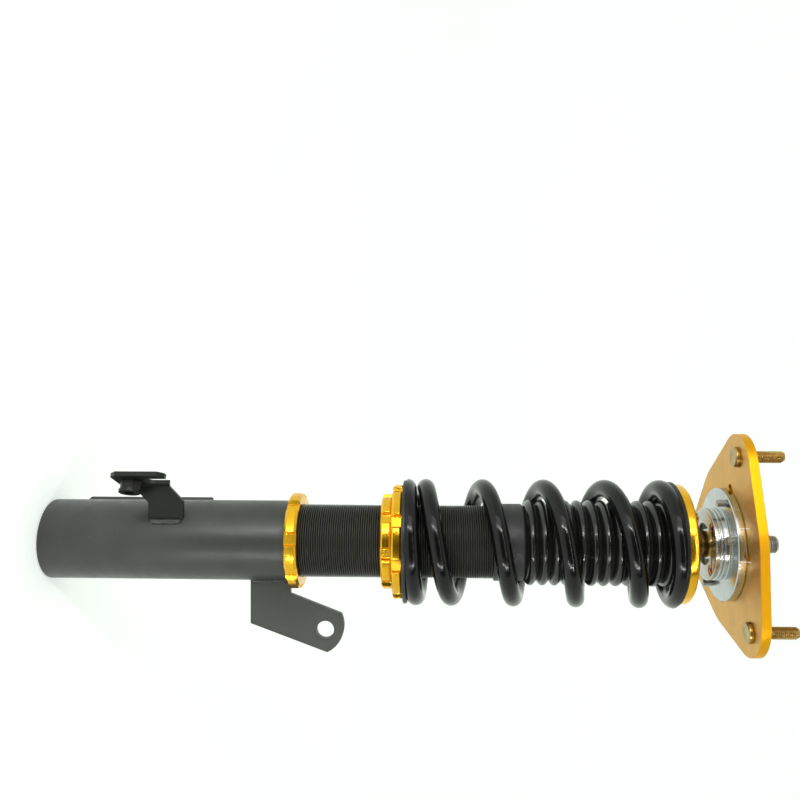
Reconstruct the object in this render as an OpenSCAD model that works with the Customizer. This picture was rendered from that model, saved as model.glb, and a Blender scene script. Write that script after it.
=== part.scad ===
// Front strut coilover: clamp-in lower tube, threaded damper body, coil spring with an
// adjustable perch, and a camber-adjustable top mount with a spherical bearing.
// Millimetres. +Z runs up the strut from the lower tube's bottom end to the top mount.

/* [Threaded body] */
// Outside diameter of the threaded body
thread_od = 50; // [46:1:54]
// Wall of the threaded body
body_wall = 3; // [2.5:0.5:4]
// Height of the threaded body's closed lower end
body_foot_z = 40; // [36:1:60]
// How far the threaded body reaches up inside the spring
body_reach = 72; // [60:1:90]

/* [Lower tube] */
// Wall of the lower tube
tube_wall = 2.4; // [2:0.1:4]
// Length of the lower tube
tube_len = 169; // [140:1:200]
// Thickness of the disc that closes the tube
base_t = 6; // [4:1:10]
// Height of the locating rib's lower end
rib_z = 16; // [12:1:40]
// Length of the locating rib
rib_len = 93; // [80:1:100]
// How far the rib stands off the tube
rib_h = 4; // [3:0.5:6]
// Thickness of the rib
rib_t = 3; // [2:0.5:5]
// Direction of the rib around the tube
rib_angle = 150; // [120:1:170]

/* [Link tab] */
// Thickness of the anti-roll-bar link tab
tab_t = 5; // [4:0.5:8]
// Diameter of the link hole
link_hole_d = 12; // [10:0.5:14]
// Radius of the tab's curved end
tab_end_r = 20.5; // [18:0.5:24]
// How far the link hole stands out from the tube
link_out = 34.2; // [30:0.1:48]
// Height of the link hole above the tube's upper end
link_up = 24; // [20:1:30]

/* [Hose bracket] */
// Sheet thickness of the brake-hose bracket
hose_t = 3; // [2:0.5:4]
// Width of the slot that takes the hose
hose_slot_w = 12; // [9:0.5:13]
// Slope of the bracket's top flange
hose_tilt = 22; // [10:1:30]
// Width of the flange from its fold to its free edge
hose_flange_w = 25; // [24:1:30]
// Height of the bracket's foot on the tube
hose_z = 75; // [70:1:85]

/* [Collars] */
// Radial width of the lower lock collar
lock_band = 8; // [6:0.5:10]
// Thickness of the lower lock collar
lock_t = 8.5; // [6:0.5:11]
// Radial width of the perch lock ring
ring_band = 7.5; // [6:0.5:10]
// Thickness of the perch lock ring
ring_t = 7.5; // [6:0.5:10]
// Height of the perch lock ring
ring_z = 233; // [205:1:260]
// Radial width of the spring perch
perch_band = 14; // [12:0.5:18]
// Thickness of the spring perch
perch_t = 7; // [5:0.5:10]
// Number of spanner notches round each collar
notches = 8; // [6:1:10]
// Depth of a spanner notch
notch_depth = 3; // [2:0.5:4]

/* [Spring] */
// Clearance between the threaded body and the spring
spring_clear = 6; // [5.5:0.5:10]
// Wire diameter
wire_d = 12.3; // [10:0.1:14]
// Length of the spring as fitted
spring_len = 178.5; // [160:0.5:220]
// Number of turns from end to end
spring_turns = 5.69; // [5:0.01:7]
// Closed turns at the lower end
closed_low = 1.1; // [0.8:0.05:1.3]
// Closed turns at the upper end
closed_high = 0.84; // [0.8:0.01:1.3]
// Thickness of the rubber ring under the spring
foot_ring_t = 2.5; // [2:0.5:5]
// Thickness of the rubber ring over the spring
head_ring_t = 2.5; // [2:0.5:8]

/* [Boot] */
// Number of folds in the dust boot
boot_folds = 12; // [8:1:14]
// Depth of a fold
boot_fold_depth = 4.5; // [3:0.5:5]
// Wall of the dust boot
boot_wall = 1.5; // [1:0.1:2]
// Wall of the cuff that holds the boot on the body
cuff_wall = 1.2; // [1:0.1:2]
// Length of the cuff below the top of the body
cuff_skirt = 13; // [8:1:20]

/* [Damper] */
// Rod diameter
rod_d = 20; // [18:0.5:24]
// Diameter of the rod's threaded end
rod_thread_d = 12; // [10:1:14]
// Wall of the pressure tube
pressure_wall = 1.9; // [1.5:0.1:2.5]
// Length of the bump stop
bump_len = 36; // [25:1:50]
// Height of the floating piston above the body's foot
gas_len = 60; // [50:1:90]
// Length of the rod guide
guide_len = 12; // [8:1:20]
// Length of the damping piston
piston_len = 14; // [10:1:20]

/* [Top mount] */
// Radius of the bearing ball
ball_r = 13; // [12:0.5:14]
// Height of the ball's centre above the upper spring seat
ball_rise = 24; // [18:0.5:28]
// Thickness of the upper spring seat
seat_t = 6.5; // [5:0.5:10]
// Wall of the bearing housing round the race
housing_wall = 7.3; // [7:0.1:10]
// Radius of the housing's flange
flange_r = 38; // [36:0.5:40]
// Thickness of the housing's flange
flange_t = 5.5; // [4:0.5:8]
// Thickness of the camber plate
plate_t = 6; // [5:0.5:10]
// Circle diameter of the mounting studs
stud_pcd = 128; // [122:1:150]
// Stud diameter
stud_d = 8; // [6:1:10]
// How far the studs stand above the plate
stud_len = 23.5; // [18:0.5:32]
// Radius of the plate's lobes round the studs
lobe_r = 25; // [18:0.1:28]
// How far the lobes' centres lie inside the stud circle
lobe_inset = 10.5; // [0:0.5:14]
// Radius of the plate's middle
plate_mid_r = 58; // [56:1:66]
// Direction in which the plate and its studs are turned round the strut
plate_turn = -11.4; // [-60:0.1:60]
// Direction of the camber slots
camber_angle = -38.5; // [-60:0.5:60]
// Offset of each camber slot from the middle
slot_offset = 30; // [29:0.5:32]
// Half length of each camber slot
slot_half = 28.5; // [27:0.5:30]
// Camber travel each way from the middle
camber_travel = 10; // [6:1:10]
// Clamp screw diameter
screw_d = 5; // [4:0.5:6]

/* [Hidden] */
fine = 96;
fit = 0.1;        // thread and slip fits, radial
snug = 0.05;      // bearing and bush fits, radial
seat_gap = 0.3;   // rubber against its seat

tube_bore_r = thread_od / 2 + fit;
tube_r = tube_bore_r + tube_wall;
link_x = tube_r + link_out;
link_z = tube_len + link_up;
tab_low = tube_len - 28.6;
tab_high = tube_len - 0.4;
base_step = 0.5;
body_r = thread_od / 2;
body_bore_r = body_r - body_wall;
body_foot_t = 6;

lock_z = tube_len;
perch_z = ring_z + ring_t;
foot_ring_z = perch_z + perch_t;
spring_z = foot_ring_z + foot_ring_t;
body_top = spring_z + body_reach;
spring_top = spring_z + spring_len;
seat_z = spring_top + head_ring_t;
seat_top = seat_z + seat_t;
wire_r = wire_d / 2;
spring_id = thread_od + 2 * spring_clear;
spring_over = 3.15;   // rise of the last coil's centre above the ground end
coil_r = spring_id / 2 + wire_r;
spring_od = spring_id + 2 * wire_d;
hub_r = spring_id / 2 - 1.5;
hub_h = foot_ring_t + 3;

pressure_r = body_bore_r - fit;
bore_r = pressure_r - pressure_wall;
rod_r = rod_d / 2;
stem_r = rod_thread_d / 2;
seal_len = 5;
gland_plug = 5;
gland_t = 3;
guide_z = body_top - gland_plug - seal_len - guide_len;
seal_z = guide_z + guide_len;
gland_z = seal_z + seal_len;
gland_top = body_top + gland_t;
shim_t = 2;
rebound_h = 14;
spigot_r = 5;
rod_foot_z = guide_z - seat_gap - rebound_h;
piston_top = rod_foot_z - shim_t;
piston_z = piston_top - piston_len;
piston_nut_h = 8;
piston_nut_z = piston_z - shim_t - piston_nut_h;
band_len = 6;
band_t = 1.4;
piston_r = bore_r - 0.5;
shim_r = piston_r - 3.5;
port_ring_r = piston_r - 7.5;
float_len = 12;
float_z = body_foot_z + body_foot_t + gas_len;
cuff_z = body_top - cuff_skirt;
cuff_top = gland_top + 4.3;
cuff_r = body_r + snug + cuff_wall;
boot_r = spring_id / 2 - 2;
boot_z = cuff_top + seat_gap;
boot_top = spring_top - seat_gap;
bump_gap = 5;         // between the bump stop and the boot's folds
bump_od = 2 * (boot_r - boot_fold_depth - boot_wall - bump_gap);
bump_cup_t = 3;
bump_cup_z = seat_z - bump_cup_t;
bump_z = bump_cup_z - bump_len;

shell_t = 0.95;
race_half = 6;
liner_r = ball_r + snug + shell_t;
backing_r = liner_r + snug + shell_t;
race_bore_r = backing_r + snug;
race_r = race_bore_r + 1.95;
housing_r = race_r + housing_wall;
ball_z = seat_top + ball_rise;
ball_half = 8.7;
retainer_t = 3.5;
housing_z = ball_z - race_half;
retainer_z = housing_z - retainer_t;
plate_z = ball_z + 5.5;
flange_z = plate_z - flange_t;
clip_z = ball_z + race_half;
clip_t = 1.5;
clip_r = race_r + 1;
boss_top = clip_z + clip_t + 2;
boss_r = race_r + 3;
plate_top = plate_z + plate_t;
opening_r = boss_r + 1;
retainer_bore_r = sqrt(pow(backing_r, 2) - pow(race_half, 2)) + 0.4;
retainer_pitch_r = race_r + 3;
retainer_angle = 50;
screw_pitch = 14;
screw_below = 5.5;
washer_t = 1;
head_h = 5;
head_r = 4.5;
spacer_r = 12.4;
spacer_neck_r = 9.2;
upper_spacer_h = 6;
nut_h = 10;
nut_af = 19;
rod_top = ball_z + 39;
stud_head_r = 6.75;
stud_head_h = 3;
stud_shank_r = stud_d / 2 + 0.4;   // pressed into the plate

gold = "goldenrod";
black = "dimgray";
steel = "silver";

module ring(outer, inner, h) {
    difference() {
        cylinder(r = outer, h = h, $fn = fine);
        translate([0, 0, -1]) cylinder(r = inner, h = h + 2, $fn = fine);
    }
}

module chamfered_ring(outer, inner, h, cut) {
    rotate_extrude($fn = fine)
        polygon([[inner, 0], [outer - cut, 0], [outer, cut], [outer, h - cut],
                 [outer - cut, h], [inner, h]]);
}

// A collar whose rim is cut by notches for a hook spanner.
module lobed_collar(outer, h, cut, notch_deg, phase) {
    floor_r = outer - notch_depth;
    half_floor = floor_r * sin(notch_deg / 2) * 0.72;
    half_mouth = outer * sin(notch_deg / 2);
    difference() {
        chamfered_ring(outer, body_r + fit, h, cut);
        for (i = [0:notches - 1])
            rotate([0, 0, phase + 360 * (i + 0.5) / notches])
                translate([0, 0, -1])
                    linear_extrude(h + 2)
                        polygon([[floor_r, -half_floor], [outer + 2, -half_mouth - 1],
                                 [outer + 2, half_mouth + 1], [floor_r, half_floor]]);
    }
}

module lower_tube() {
    color(black)
        difference() {
            ring(tube_r, tube_bore_r, tube_len);
            translate([0, 0, -1])
                cylinder(r = tube_bore_r + base_step, h = base_t + 1, $fn = fine);
        }
}

module tube_base_disc() {
    color(black)
        cylinder(r = tube_bore_r + base_step - 0.02, h = base_t, $fn = fine);
}

// The rib has two short gaps along it, left where it is stitched to the tube.
module locating_rib() {
    gap_low = 7;
    gap_high = 5;
    lead = rib_h;
    color(black)
        rotate([0, 0, rib_angle])
            translate([tube_r, rib_t / 2, rib_z])
                rotate([90, 0, 0])
                    linear_extrude(rib_t)
                        difference() {
                            polygon([[0, 0], [rib_h, lead], [rib_h, rib_len], [0, rib_len]]);
                            translate([-1, 8]) square([2, gap_low]);
                            translate([-1, 70]) square([2, gap_high]);
                        }
}

// The tab's outer end is a shallow curve between two corners.
module link_tab() {
    shoulder = tube_r + 30.5;
    inner_corner = tube_r + 9.5;
    eye = [link_x, link_z];
    bend = eye - [2.7, 7.4];
    sweep = [25.3, 114.2];
    steps = 12;
    color(black)
        rotate([90, 0, 0])
            linear_extrude(tab_t, center = true)
                difference() {
                    polygon(concat([[tube_r, tab_low], [shoulder, tab_low]],
                                   [for (i = [0:steps])
                                       let (a = sweep[0] + (sweep[1] - sweep[0]) * i / steps)
                                       bend + tab_end_r * [cos(a), sin(a)]],
                                   [[inner_corner, tab_high], [tube_r, tab_high]]));
                    translate(eye) circle(d = link_hole_d, $fn = fine);
                }
}

hose_leg_y = -19;
hose_leg_w = 24;
hose_fold_x = -tube_r - 12;
hose_flange_low = hose_z - 18;
hose_flange_high = hose_z + 18;
hose_rear_arm = 5.5;
hose_slot_z = hose_z + 7;
hose_nut_y = -12;
hose_nut_z = hose_z - 7.4;
hose_nut_af = 12;
hose_nut_h = 8;
hose_nut_bore = 3.4;

module in_hose_flange() {
    translate([hose_fold_x, hose_leg_y - hose_t, 0]) rotate([0, 0, -hose_tilt]) children();
}

module hose_bracket() {
    corner = 4;
    back = 3.2;
    lean_low = 11;
    lean_high = 10;
    color(black)
        difference() {
            union() {
                translate([0, hose_leg_y, 0])
                    rotate([90, 0, 0])
                        linear_extrude(hose_t)
                            polygon([[-tube_r / 2, hose_z], [-tube_r - 1, hose_z],
                                     [hose_fold_x - 0.5, hose_z - lean_low],
                                     [hose_fold_x - 0.5, hose_z + hose_leg_w - lean_high],
                                     [-tube_r - 2, hose_z + hose_leg_w],
                                     [-tube_r / 2, hose_z + hose_leg_w]]);
                in_hose_flange()
                    rotate([0, -90, 0])
                        linear_extrude(hose_t)
                            polygon([[hose_flange_low, back - 2],
                                     [hose_flange_low, corner - hose_flange_w],
                                     [hose_flange_low + corner, -hose_flange_w],
                                     [hose_flange_high - corner, -hose_flange_w],
                                     [hose_flange_high, corner - hose_flange_w],
                                     [hose_flange_high, -10],
                                     [hose_z + hose_leg_w - lean_high, back],
                                     [hose_flange_low + 9, back]]);
            }
            translate([0, 0, hose_z - 30]) cylinder(r = tube_r, h = 80, $fn = fine);
            in_hose_flange() {
                translate([-hose_t - 1, -hose_rear_arm - hose_slot_w / 2, hose_slot_z])
                    rotate([0, 90, 0]) cylinder(d = hose_slot_w, h = hose_t + 2, $fn = fine);
                translate([-hose_t - 1, -hose_rear_arm - hose_slot_w, hose_slot_z])
                    cube([hose_t + 2, hose_slot_w, 40]);
                translate([-hose_t - 1, hose_nut_y, hose_nut_z])
                    rotate([0, 90, 0]) cylinder(r = hose_nut_bore, h = hose_t + 2, $fn = fine);
            }
        }
}

module hose_weld_nut() {
    rim = 2;
    color(steel)
        in_hose_flange()
            translate([0, hose_nut_y, hose_nut_z])
                rotate([0, 90, 0])
                    difference() {
                        union() {
                            cylinder(r = hose_nut_af / cos(30) / 2, h = hose_nut_h, $fn = 6);
                            translate([0, 0, hose_nut_h - rim])
                                cylinder(d = hose_nut_af + 2, h = rim, $fn = fine);
                        }
                        translate([0, 0, -1])
                            cylinder(r = hose_nut_bore, h = hose_nut_h + 2, $fn = fine);
                    }
}

module bead(x, y, low, high, r) {
    translate([x, y, low]) cylinder(r = r, h = high - low, $fn = 32);
    translate([x, y, low]) sphere(r = r, $fn = 32);
    translate([x, y, high]) sphere(r = r, $fn = 32);
}

module weld_beads() {
    bead_r = 2.2;
    slab = tab_t / 2 + 0.02;
    color(black)
        difference() {
            union() {
                for (side = [-1, 1])
                    bead(tube_r + 0.2, side * (tab_t / 2 + 0.7), tab_low + 2.6, tab_high - 2.6,
                         bead_r);
                bead(-sqrt(pow(tube_r, 2) - pow(hose_leg_y - hose_t, 2)) + 0.6,
                     hose_leg_y - hose_t - 0.9, hose_z + 2, hose_z + hose_leg_w - 2, bead_r);
            }
            translate([0, 0, 50]) cylinder(r = tube_r + 0.02, h = 150, $fn = fine);
            translate([tube_r - 2, -slab, tab_low - 20]) cube([20, 2 * slab, 80]);
            translate([-tube_r - 5, hose_leg_y - hose_t - 0.02, 50]) cube([25, 10, 80]);
        }
}

module lower_lock_collar() {
    color(gold)
        translate([0, 0, lock_z]) lobed_collar(body_r + lock_band, lock_t, 1.6, 18, 281.5);
}

module threaded_body() {
    color(black)
        difference() {
            translate([0, 0, body_foot_z])
                chamfered_ring(body_r, 0, body_top - body_foot_z, 1);
            translate([0, 0, body_foot_z + body_foot_t])
                cylinder(r = body_bore_r, h = body_top, $fn = fine);
        }
}

module pressure_tube() {
    z = body_foot_z + body_foot_t;
    color(steel) translate([0, 0, z]) ring(pressure_r, bore_r, guide_z - z);
}

module gas_valve() {
    color(gold)
        translate([0, 0, body_foot_z + body_foot_t]) {
            cylinder(r = 7, h = 3, $fn = 6);
            translate([0, 0, 3]) cylinder(r = 3, h = 6, $fn = 32);
        }
}

module floating_piston() {
    color(steel)
        translate([0, 0, float_z])
            difference() {
                cylinder(r = bore_r - snug, h = float_len, $fn = fine);
                translate([0, 0, float_len - 4]) cylinder(r = bore_r - 5, h = 5, $fn = fine);
            }
}

module rod_guide() {
    color(steel) translate([0, 0, guide_z]) ring(pressure_r, rod_r + snug, guide_len);
}

module rod_seal() {
    color(black) translate([0, 0, seal_z]) ring(pressure_r, rod_r + snug / 2, seal_len);
}

module gland_cap() {
    rim_r = body_r - 0.6;
    color(steel)
        translate([0, 0, gland_z])
            difference() {
                union() {
                    cylinder(r = pressure_r, h = gland_plug, $fn = fine);
                    translate([0, 0, gland_plug]) cylinder(r = rim_r, h = gland_t, $fn = fine);
                }
                translate([0, 0, -1])
                    cylinder(r = rod_r + seat_gap, h = gland_plug + gland_t + 2, $fn = fine);
                for (a = [0:90:270])
                    rotate([0, 0, a])
                        translate([rod_r + 6, 0, gland_plug + gland_t - 2])
                            cylinder(r = 2, h = 3, $fn = 32);
            }
}

module boot_cuff() {
    lip_r = body_r - 3;
    cut = 1.5;
    inner_r = body_r + snug;
    color(black)
        rotate_extrude($fn = fine)
            polygon([[inner_r, cuff_z], [cuff_r, cuff_z], [cuff_r, cuff_top - cut],
                     [cuff_r - cut, cuff_top], [lip_r, cuff_top],
                     [lip_r, gland_top + seat_gap], [inner_r, gland_top + seat_gap]]);
}

module dust_boot() {
    pitch = (boot_top - boot_z) / boot_folds;
    crest = boot_r;
    valley = boot_r - boot_fold_depth;
    outer = [for (i = [0:boot_folds - 1], s = [0:3])
        [[valley, crest, crest, valley][s], boot_z + pitch * (i + [0.12, 0.36, 0.64, 0.88][s])]];
    inner = [for (i = [len(outer) - 1:-1:0]) [outer[i][0] - boot_wall, outer[i][1]]];
    color(black)
        rotate_extrude($fn = fine)
            polygon(concat([[valley - boot_wall, boot_z], [valley, boot_z]], outer,
                           [[valley, boot_top], [valley - boot_wall, boot_top]], inner));
}

module perch_lock_ring() {
    color(gold) translate([0, 0, ring_z]) lobed_collar(body_r + ring_band, ring_t, 1.2, 16, 253.4);
}

module spring_perch() {
    color(gold)
        translate([0, 0, perch_z]) {
            lobed_collar(body_r + perch_band, perch_t, 1.2, 15, 262.7);
            translate([0, 0, perch_t]) ring(hub_r, body_r + fit, hub_h);
        }
}

module lower_spring_ring() {
    color(black)
        translate([0, 0, foot_ring_z])
            ring(spring_od / 2 - 1.3, hub_r + seat_gap, foot_ring_t);
}

// Rise of the coil above plain end pitch: zero before x = 0, x after it, smoothed over w turns.
function eased(x, w) =
    x <= -w / 2 ? 0 : x >= w / 2 ? x : let (u = x / w + 0.5) w * (pow(u, 3) - pow(u, 4) / 2);

module coil_spring() {
    sides = 12;
    steps = 36;
    end_pitch = wire_d + 0.3;
    ease = 0.3;
    active = spring_turns - closed_low - closed_high;
    extra = (spring_len + spring_over - end_pitch * spring_turns) / active;
    count = floor(spring_turns * steps);
    rings = [for (i = [0:count])
        let (t = i * spring_turns / count, a = 170 + 360 * t,
             h = end_pitch * t + extra * (eased(t - closed_low, ease)
                 - eased(t - closed_low - active, ease)),
             open = asin(min(sin(80), (spring_len - h) / wire_r)))
        for (k = [0:sides - 1])
            let (b = 180 - open + (180 + 2 * open) * k / (sides - 1),
                 r = coil_r + wire_r * cos(b), z = max(h + wire_r * sin(b), 0))
            [r * cos(a), r * sin(a), z]];
    walls = [for (i = [0:count - 1], k = [0:sides - 1])
        let (j = (k + 1) % sides)
        [i * sides + k, (i + 1) * sides + k, (i + 1) * sides + j, i * sides + j]];
    color(black)
        translate([0, 0, spring_z])
            polyhedron(points = rings,
                       faces = concat([[for (k = [0:sides - 1]) k]], walls,
                                      [[for (k = [sides - 1:-1:0]) count * sides + k]]));
}

module piston_rod() {
    color(steel) {
        translate([0, 0, piston_nut_z - 2])
            cylinder(r = spigot_r, h = rod_foot_z - piston_nut_z + 2, $fn = fine);
        translate([0, 0, rod_foot_z]) cylinder(r = rod_r, h = seat_z - rod_foot_z, $fn = fine);
        translate([0, 0, seat_z]) cylinder(r = stem_r, h = rod_top - seat_z, $fn = fine);
    }
}

module damping_piston() {
    band_r = piston_r - band_t;
    color(steel)
        translate([0, 0, piston_z])
            difference() {
                ring(piston_r, spigot_r + 0.02, piston_len);
                translate([0, 0, (piston_len - band_len) / 2])
                    ring(piston_r + 1, band_r, band_len);
                for (a = [0:60:300])
                    rotate([0, 0, a])
                        translate([port_ring_r, 0, -1])
                            cylinder(r = 2, h = piston_len + 2, $fn = 32);
            }
}

module piston_band() {
    color("black")
        translate([0, 0, piston_z + (piston_len - band_len) / 2 + 0.02])
            ring(bore_r - snug, piston_r - band_t + 0.02, band_len - 0.04);
}

module valve_shims() {
    color(steel)
        for (z = [piston_z - shim_t, piston_top])
            translate([0, 0, z]) ring(shim_r, spigot_r + 0.02, shim_t);
}

module piston_nut() {
    color(steel)
        translate([0, 0, piston_nut_z])
            difference() {
                cylinder(r = 9, h = piston_nut_h, $fn = 6);
                translate([0, 0, -1])
                    cylinder(r = spigot_r + 0.02, h = piston_nut_h + 2, $fn = fine);
            }
}

module rebound_stop() {
    color(black)
        translate([0, 0, rod_foot_z]) ring(rod_r + 5, rod_r + 0.02, rebound_h);
}

module bump_stop() {
    waist = bump_od / 2 - 3;
    r = bump_od / 2;
    inner = rod_r + seat_gap;
    third = bump_len / 3;
    color("khaki")
        translate([0, 0, bump_z])
            rotate_extrude($fn = fine)
                polygon([[inner, 0], [waist - 2, 0], [r - 2, third * 0.5], [waist, third],
                         [r, third * 1.5], [waist, third * 2], [r, third * 2.5],
                         [r, bump_len], [inner, bump_len]]);
}

module bump_stop_cup() {
    color(black) translate([0, 0, bump_cup_z]) ring(bump_od / 2 + 1, rod_r + 0.02, bump_cup_t);
}

module upper_spring_ring() {
    inner = bump_od / 2 + 3;
    color(black)
        translate([0, 0, spring_top]) chamfered_ring(spring_od / 2 - 1.5, inner, head_ring_t, 0.6);
}

module upper_spring_seat() {
    color(gold)
        translate([0, 0, seat_z])
            chamfered_ring(spring_od / 2 - 3.1, stem_r + snug, seat_t, 1);
}

module lower_ball_spacer() {
    top = ball_z - ball_half;
    neck = top - 5;
    color("peru")
        rotate_extrude($fn = fine)
            polygon([[stem_r + snug, seat_top], [spacer_r, seat_top], [spacer_r, seat_top + 2],
                     [spacer_r - 1.5, seat_top + 3], [spacer_r - 1.5, seat_top + 4],
                     [spacer_r, seat_top + 5], [spacer_r, neck - 2.5],
                     [spacer_neck_r, neck + 0.6], [spacer_neck_r, top], [stem_r + snug, top]]);
}

module bearing_ball() {
    color(steel)
        translate([0, 0, ball_z])
            difference() {
                intersection() {
                    sphere(r = ball_r, $fn = fine);
                    cylinder(r = ball_r + 1, h = 2 * ball_half, center = true, $fn = fine);
                }
                cylinder(r = stem_r + snug, h = 3 * ball_r, center = true, $fn = fine);
            }
}

module upper_ball_spacer() {
    color("peru")
        translate([0, 0, ball_z + ball_half])
            ring(spacer_neck_r, stem_r + snug, upper_spacer_h);
}

module rod_nut() {
    color(steel)
        translate([0, 0, ball_z + ball_half + upper_spacer_h])
            difference() {
                union() {
                    cylinder(r = nut_af / cos(30) / 2, h = nut_h, $fn = 6);
                    cylinder(r = nut_af / 2 + 1.5, h = 2, $fn = fine);
                }
                translate([0, 0, -1]) cylinder(r = stem_r + snug, h = nut_h + 2, $fn = fine);
            }
}

module ball_shell(outer, inner, half) {
    translate([0, 0, ball_z])
        difference() {
            intersection() {
                sphere(r = outer, $fn = fine);
                cylinder(r = outer + 1, h = 2 * half, center = true, $fn = fine);
            }
            sphere(r = inner, $fn = fine);
        }
}

module bearing_liner() {
    color("seagreen") ball_shell(liner_r, ball_r + snug, race_half - 0.8);
}

module bearing_backing() {
    color(steel) ball_shell(backing_r, liner_r + snug, race_half - 0.2);
}

module bearing_race() {
    color(steel)
        translate([0, 0, ball_z])
            difference() {
                cylinder(r = race_r, h = 2 * race_half, center = true, $fn = fine);
                sphere(r = race_bore_r, $fn = fine);
            }
}

module bearing_circlip() {
    gap = 4;
    color(steel)
        translate([0, 0, clip_z])
            difference() {
                ring(clip_r, retainer_bore_r + 1, clip_t - 0.05);
                translate([0, -gap / 2, -1]) cube([clip_r + 1, gap, clip_t + 2]);
            }
}

module bearing_retainer() {
    head_bore = 3.6;
    color(steel)
        translate([0, 0, retainer_z])
            difference() {
                chamfered_ring(housing_r, retainer_bore_r, retainer_t, 0.6);
                for (i = [0:3])
                    rotate([0, 0, retainer_angle + 90 * i])
                        translate([retainer_pitch_r, 0, -1]) {
                            cylinder(r = head_bore, h = 3.2, $fn = 48);
                            cylinder(r = 2.05, h = retainer_t + 2, $fn = 48);
                        }
            }
}

module retainer_screws() {
    color("peru")
        for (i = [0:3])
            rotate([0, 0, retainer_angle + 90 * i])
                translate([retainer_pitch_r, 0, retainer_z + 0.4])
                    difference() {
                        union() {
                            cylinder(r = 3.3, h = 1.8, $fn = 48);
                            cylinder(r = 2, h = 8.5, $fn = 48);
                        }
                        translate([0, 0, -1]) cylinder(r = 1.6, h = 2, $fn = 6);
                    }
}

module bearing_housing() {
    color(steel)
        difference() {
            union() {
                translate([0, 0, housing_z])
                    cylinder(r = housing_r, h = plate_z - housing_z, $fn = fine);
                translate([0, 0, flange_z]) chamfered_ring(flange_r, 0, flange_t, 0.5);
                translate([0, 0, plate_z])
                    cylinder(r = boss_r, h = boss_top - plate_z, $fn = fine);
            }
            translate([0, 0, housing_z - 1])
                cylinder(r = race_r + 0.02, h = boss_top - housing_z + 2, $fn = fine);
            translate([0, 0, clip_z]) cylinder(r = clip_r + 0.02, h = clip_t, $fn = fine);
            for (i = [0:3])
                rotate([0, 0, retainer_angle + 90 * i])
                    translate([retainer_pitch_r, 0, housing_z - 1])
                        cylinder(r = 2.05, h = 7, $fn = 48);
            rotate([0, 0, camber_angle])
                for (sx = [-1, 1], sy = [-1, 1])
                    translate([sx * screw_pitch, sy * slot_offset, flange_z - 1])
                        cylinder(r = screw_d / 2 + 0.02, h = flange_t + 2, $fn = 48);
        }
}

module camber_screws() {
    socket_r = 2.3;
    color(steel)
        rotate([0, 0, camber_angle])
            for (sx = [-1, 1], sy = [-1, 1])
                translate([sx * screw_pitch, sy * slot_offset, 0])
                    difference() {
                        union() {
                            translate([0, 0, flange_z - screw_below])
                                cylinder(d = screw_d, $fn = 48,
                                         h = plate_top + washer_t + 1 - flange_z + screw_below);
                            translate([0, 0, plate_top + washer_t])
                                cylinder(r = head_r, h = head_h, $fn = 48);
                        }
                        translate([0, 0, plate_top + washer_t + head_h - 3])
                            cylinder(r = socket_r, h = 4, $fn = 6);
                    }
}

module camber_washers() {
    color(steel)
        rotate([0, 0, camber_angle])
            for (sx = [-1, 1], sy = [-1, 1])
                translate([sx * screw_pitch, sy * slot_offset, plate_top])
                    ring(head_r + 1, screw_d / 2 + 0.02, washer_t);
}

LOBES = [for (a = [-30, 90, 210]) a + plate_turn];

function spot(r, a) = [r * cos(a), r * sin(a)];

module plate_outline() {
    lobe_at = stud_pcd / 2 - lobe_inset;
    wrap = acos((plate_mid_r - lobe_r) / lobe_at);
    tuck = 0.05;   // the straight edges lie this far inside their tangents
    mid = plate_mid_r - tuck;
    end = lobe_r - tuck;
    circle(r = plate_mid_r, $fn = fine);
    for (a = LOBES) {
        translate(spot(lobe_at, a)) circle(r = lobe_r, $fn = fine);
        polygon([[0, 0], spot(mid, a - wrap), spot(lobe_at, a) + spot(end, a - wrap),
                 spot(lobe_at, a) + spot(end, a + wrap), spot(mid, a + wrap)]);
    }
}

module obround(length, r) {
    for (s = [-1, 1]) translate([s * length, 0]) circle(r = r, $fn = fine);
    square([2 * length, 2 * r], center = true);
}

module camber_plate() {
    slot_r = screw_d / 2 + 0.2;
    color(gold)
        translate([0, 0, plate_z])
            linear_extrude(plate_t)
                difference() {
                    plate_outline();
                    rotate([0, 0, camber_angle]) {
                        obround(camber_travel, opening_r);
                        for (sy = [-1, 1])
                            translate([0, sy * slot_offset])
                                obround(slot_half - slot_r, slot_r);
                    }
                    for (a = LOBES)
                        translate(spot(stud_pcd / 2, a))
                            circle(r = stud_shank_r + 0.02, $fn = fine);
                }
}

module mounting_studs() {
    color("peru")
        for (a = LOBES)
            translate(concat(spot(stud_pcd / 2, a), plate_z)) {
                translate([0, 0, -stud_head_h])
                    cylinder(r = stud_head_r, h = stud_head_h, $fn = fine);
                cylinder(r = stud_shank_r, h = plate_t, $fn = fine);
                cylinder(d = stud_d, h = plate_t + stud_len, $fn = fine);
            }
}

lower_tube();
tube_base_disc();
locating_rib();
link_tab();
hose_bracket();
hose_weld_nut();
weld_beads();
lower_lock_collar();
threaded_body();
pressure_tube();
gas_valve();
floating_piston();
rod_guide();
rod_seal();
gland_cap();
boot_cuff();
dust_boot();
perch_lock_ring();
spring_perch();
lower_spring_ring();
coil_spring();
piston_rod();
damping_piston();
piston_band();
valve_shims();
piston_nut();
rebound_stop();
bump_stop();
bump_stop_cup();
upper_spring_ring();
upper_spring_seat();
lower_ball_spacer();
bearing_ball();
upper_ball_spacer();
rod_nut();
bearing_liner();
bearing_backing();
bearing_race();
bearing_circlip();
bearing_retainer();
retainer_screws();
bearing_housing();
camber_screws();
camber_washers();
camber_plate();
mounting_studs();
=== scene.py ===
"""Looks of a coilover strut: finishes, real threads, spring, boot and fine details."""
import math

import bpy
from bpy.props import FloatProperty, FloatVectorProperty, IntProperty, PointerProperty
from mathutils import Matrix, Vector


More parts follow.
